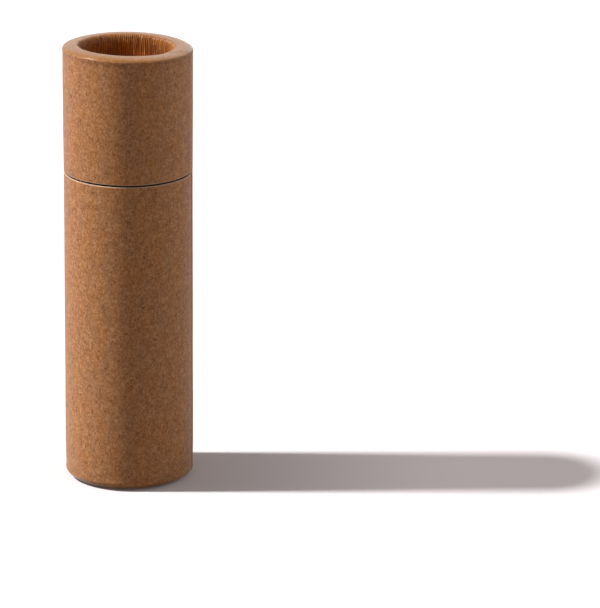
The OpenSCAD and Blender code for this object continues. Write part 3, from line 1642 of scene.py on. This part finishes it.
@dataclass(frozen=True)
class Studio:
    """Camera, floor, world and lamps.

    Lengths are in metres, but for the reach of the painted shade that dims the glow of the floor
    round the stick, which is in millimetres from the axis.
    """

    eye: Vector = Vector((0.02692, -0.95905, 0.31812))
    pitch: float = 0.2939
    roll: float = -0.0035
    lens: float = 378.0
    sensor: float = 36.0
    horizon: Colour = (0.28, 0.256, 0.248)
    zenith: Colour = (0.078, 0.068, 0.066)
    lamps: tuple[Lamp, ...] = (
        Lamp("key", 3.95, -89.5, 46.0, 4.0, (1.0, 0.99, 0.985)),
        Lamp("fill", 0.78, 100.0, 12.0, 50.0, (0.93, 0.96, 1.0)),
    )
    pale: Colour = (0.93, 0.92, 0.935)
    paler: Colour = (0.95, 0.94, 0.955)
    bounce: Colour = (0.22, 0.20, 0.20)
    veil: Colour = (0.22, 0.180, 0.180)
    shade: float = 0.85
    shade_reach: tuple[float, float] = (55.0, 9.0)

    def set_camera(self) -> None:
        """Puts the camera at the photograph's viewing angle."""
        forward = Vector((0, math.cos(self.pitch), -math.sin(self.pitch)))
        up = Vector((0, math.sin(self.pitch), math.cos(self.pitch)))
        right = Vector((1, 0, 0))
        cos, sin = math.cos(self.roll), math.sin(self.roll)
        across, above = right * cos - up * sin, right * sin + up * cos
        data = bpy.data.cameras.new("camera")
        data.lens, data.sensor_width, data.clip_end = self.lens, self.sensor, 20.0
        camera = bpy.data.objects.new("camera", data)
        turn = Matrix((across, above, -forward)).transposed()
        camera.matrix_world = Matrix.Translation(self.eye) @ turn.to_4x4()
        bpy.context.scene.collection.objects.link(camera)
        bpy.context.scene.camera = camera

    def set_world(self) -> None:
        """Lights the shade, more from the horizon than from above, and shows white."""
        bench = WorldBench("surround")
        _, _, up = bench.axes(bench.add("ShaderNodeTexCoord", output="Generated"))
        light = bench.mix(up.maths("ABSOLUTE"), self.horizon, self.zenith)
        soft = bench.add("ShaderNodeBackground", values={"Color": light})
        white = bench.add("ShaderNodeBackground", values={"Color": (1, 1, 1, 1)})
        pick = bench.add("ShaderNodeMixShader", values={0: bench.shown(), 1: soft, 2: white})
        bench.end_in("ShaderNodeOutputWorld", pick)

    def add_floor(self) -> None:
        """Lays the pale floor."""
        bm = bmesh.new()
        bmesh.ops.create_grid(bm, x_segments=1, y_segments=1, size=4.0)
        mesh = bpy.data.meshes.new("floor")
        bm.to_mesh(mesh)
        bm.free()
        bench = Bench("pale_floor")
        at = bench.place()
        colour = bench.mix(bench.cloud(at, scale=0.01, detail=2), self.pale, self.paler)
        shown = bench.shown()
        # painted shade: the floor's glow fades close to the stick's axis
        near = bench.length(at).step(*self.shade_reach)
        glow = shown * (1 - near * self.shade)
        mesh.materials.append(bench.finish(
            Base_Color=bench.mix(shown, self.bounce, colour),
            Emission_Color=bench.mix(glow, (0.0, 0.0, 0.0), self.veil),
            Emission_Strength=1.0,
            Roughness=0.9,
            Specular_IOR_Level=0.1,
        ))
        floor = bpy.data.objects.new("floor", mesh)
        bpy.context.scene.collection.objects.link(floor)
        floor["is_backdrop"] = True

    def build(self) -> None:
        """Sets up everything round the stick."""
        bpy.context.scene.view_settings.view_transform = "Standard"
        self.set_camera()
        self.set_world()
        for lamp in self.lamps:
            lamp.hang()
        self.add_floor()


def paint_kept_nodes(nodes: dict[str, bpy.types.Object], finishes: Finishes) -> None:
    """Gives the CAD nodes that stay their finishes.

    Args:
        nodes: The CAD nodes by name.
        finishes: The materials.
    """
    kept = {
        "cap_disc": finishes.disc_board,
        "push_disc": finishes.disc_board,
        "push_disc_barrier": finishes.greaseproof,
    }
    for name, finish in kept.items():
        for slot in nodes[name].material_slots:
            slot.material = finish
        LOG.info("%s: kept from the frame", name)


def main() -> None:
    """Builds the stick and its studio."""
    logging.basicConfig(level=logging.INFO, format="%(name)s %(message)s")
    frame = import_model()
    cad_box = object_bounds()
    Studio().build()
    mouth, crown = span("cap_wrap")
    cap_tube = CurledTube(
        End.CROWN, crown, crown - mouth, fold=3.5, lap_at=14.0, offset=100.0,
        curl=Curl(outer_w=2.1, outer_h=0.68, inner_w=0.9, inner_h=1.6, square=2.35),
        flare=0.08, lean=(-0.19, -0.22), warp=0.07, proud=0.18, throat_at=-0.15,
        slant=18.0, lap_turn=-1, corner=0.03)
    foot, shoulder = span("body_wrap")
    body_tube = CurledTube(
        End.FOOT, foot, shoulder - foot, fold=4.5, lap_at=-6.0, offset=0.0,
        curl=Curl(outer_w=1.8, outer_h=1.3, inner_w=0.7, inner_h=1.5, square=2.0),
        flare=-0.08, flare_h=5.0, corner=0.12)
    finishes = Finishes.mixed(cap_tube.lap_at, body_tube.lap_at)
    Body(finishes, body_tube).build()
    PushUp(finishes).build()
    Cap(finishes, cap_tube).build()
    paint_kept_nodes(frame["nodes"], finishes)
    boxes = {
        name: [list(corner) for corner in box]
        for name, box in (("cad", cad_box), ("visual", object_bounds()))
    }


if __name__ == "__main__":
    main()
